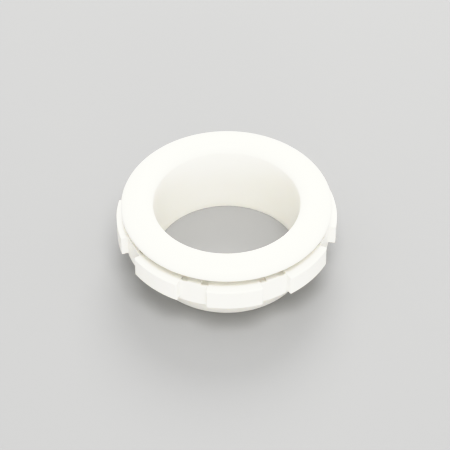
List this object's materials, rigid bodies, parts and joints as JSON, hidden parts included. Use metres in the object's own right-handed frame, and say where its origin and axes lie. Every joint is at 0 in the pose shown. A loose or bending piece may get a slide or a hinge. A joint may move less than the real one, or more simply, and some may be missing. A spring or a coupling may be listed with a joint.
{
  "type": "desk grommet",
  "caption": "Round open cable grommet for a desk hole: a domed flange flowing into a plain bore on a threaded barrel, clamped from below by a castellated ring lock nut.",
  "frame": {"origin": "on the axis, at the lower end of the barrel, which the grommet stands on", "axes": "+Z along the bore axis, from the barrel up through the desk to the flange"},
  "size_m": [0.0794, 0.0794, 0.0302],
  "materials": {
    "bush_plastic": "satin to gloss moulded white plastic",
    "nut_plastic": "satin moulded white plastic"
  },
  "bodies": {
    "bush": {"flanged_bush": "bush_plastic"},
    "nut_travel": {"lock_nut_collar": "nut_plastic"},
    "nut": {"lock_nut": "nut_plastic"}
  },
  "joints": [
    {"name": "nut_slide", "type": "slide", "parent": "bush", "child": "nut_travel", "axis": [0, 0, 1], "range_m": [-0.012, 0.003]},
    {"name": "nut_turn", "type": "hinge", "parent": "nut_travel", "child": "nut", "pos_m": [0, 0, 0.0179], "axis": [0, 0, 1], "range_deg": [-1440, 360]}
  ],
  "couplings": [
    {"joint": "nut_slide", "follows": "nut_turn", "m_per_rad": 0.00047746}
  ]
}
